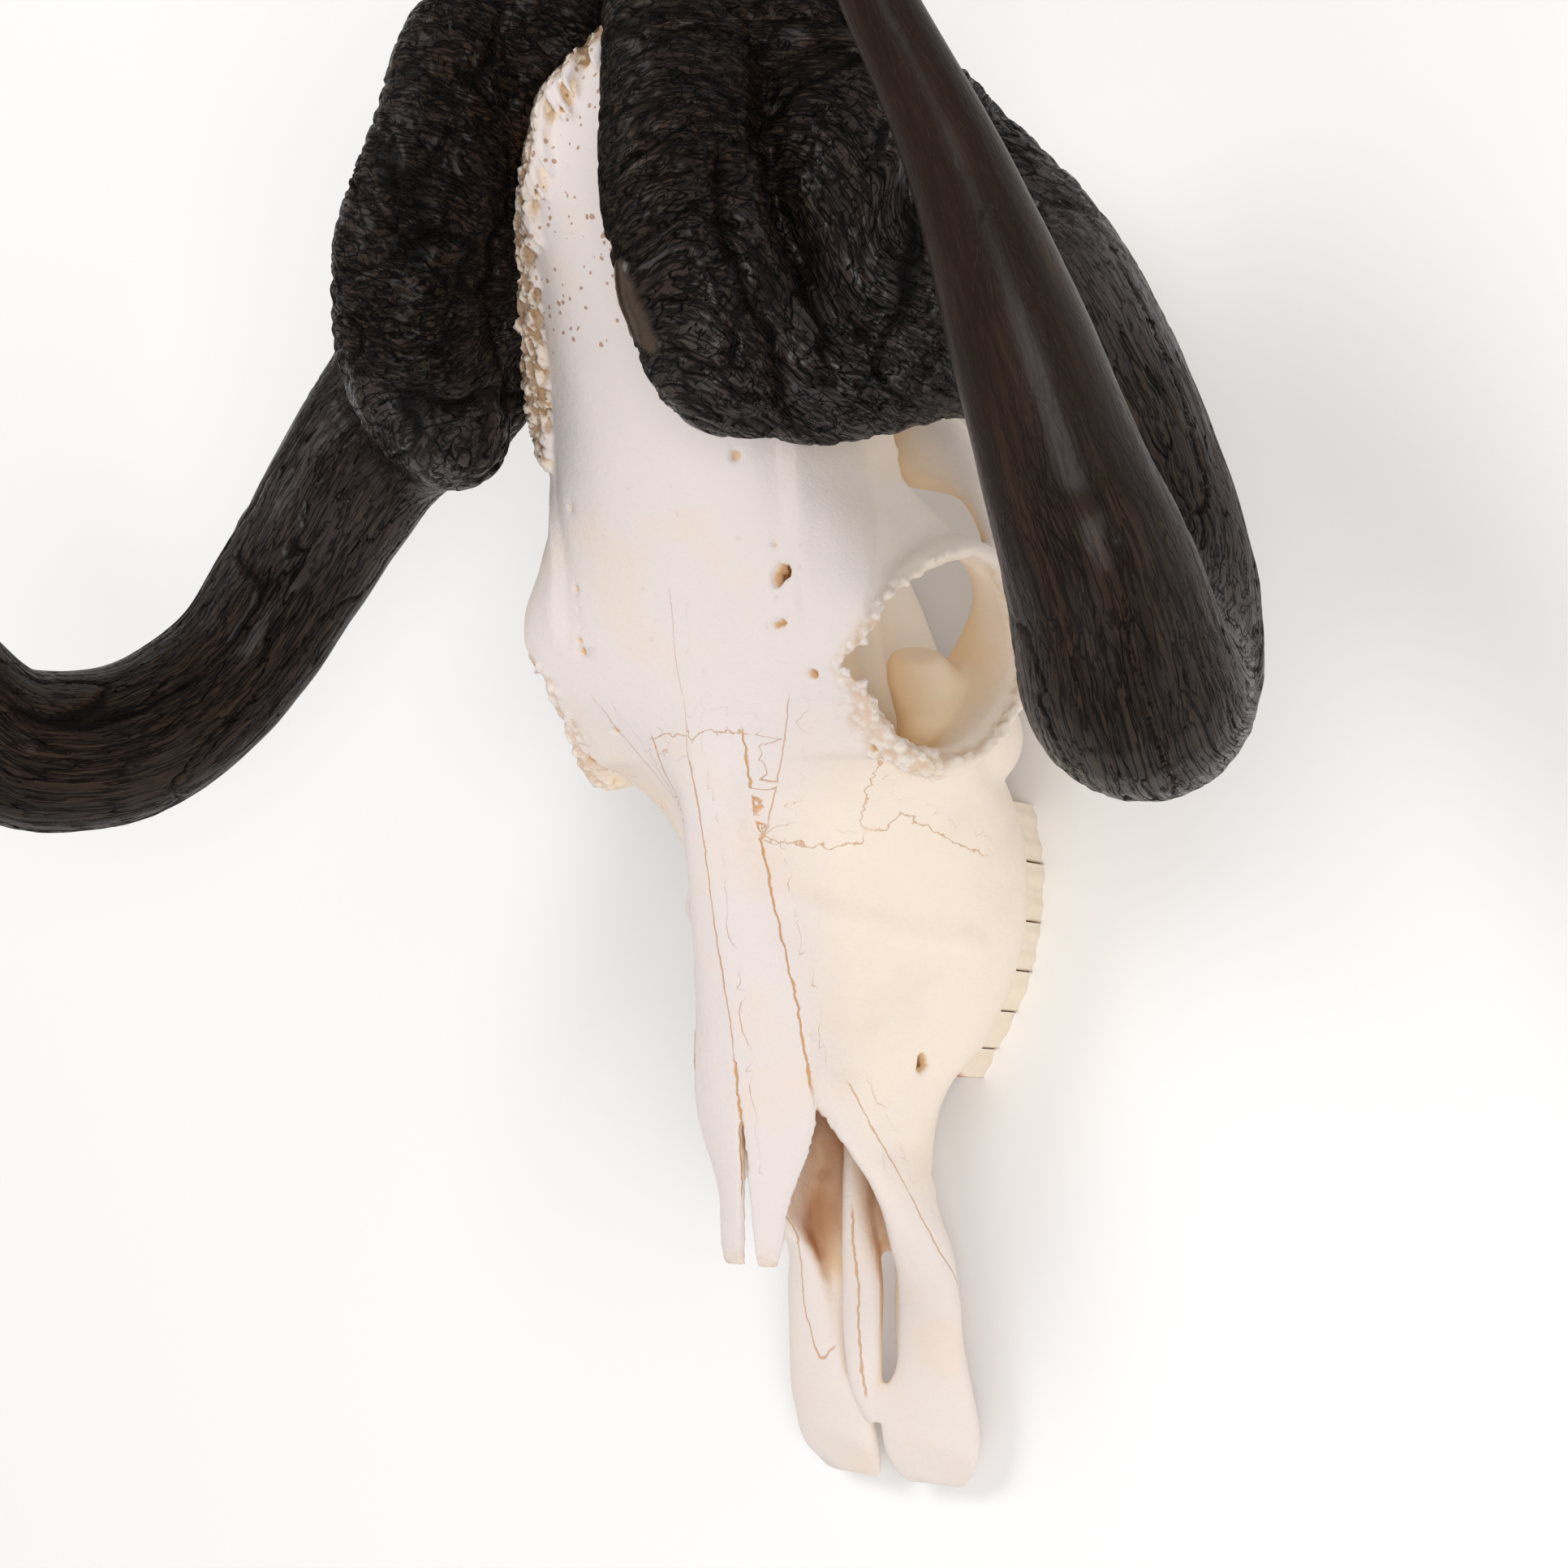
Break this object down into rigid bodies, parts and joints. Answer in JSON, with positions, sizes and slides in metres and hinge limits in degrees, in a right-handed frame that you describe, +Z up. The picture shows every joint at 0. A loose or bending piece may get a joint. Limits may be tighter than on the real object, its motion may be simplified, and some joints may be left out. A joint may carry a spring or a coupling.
{
  "type": "wildebeest skull",
  "caption": "Black wildebeest skull with broad-based horns that sweep down, forward and up into hooked tips, lying on its cheek teeth.",
  "frame": {"origin": "on the surface that the skull lies on, under the centre of its bounding box", "axes": "+X to the animal's left, -Y along the muzzle towards the tips of the premaxillae, +Z up from the wearing plane of the cheek teeth to the forehead"},
  "size_m": [0.5212, 0.4924, 0.3742],
  "materials": {
    "bone": "dry bone, matt with faint gloss",
    "horn": "fibrous horn, satin",
    "enamel": "enamel with cement, satin"
  },
  "bodies": {
    "root": {"skull": "bone", "horn_sheath_left": "horn", "horn_sheath_right": "horn", "premolar_2_left": "enamel", "premolar_3_left": "enamel", "premolar_4_left": "enamel", "molar_1_left": "enamel", "molar_2_left": "enamel", "molar_3_left": "enamel", "premolar_2_right": "enamel", "premolar_3_right": "enamel", "premolar_4_right": "enamel", "molar_1_right": "enamel", "molar_2_right": "enamel", "molar_3_right": "enamel"}
  },
  "joints": []
}
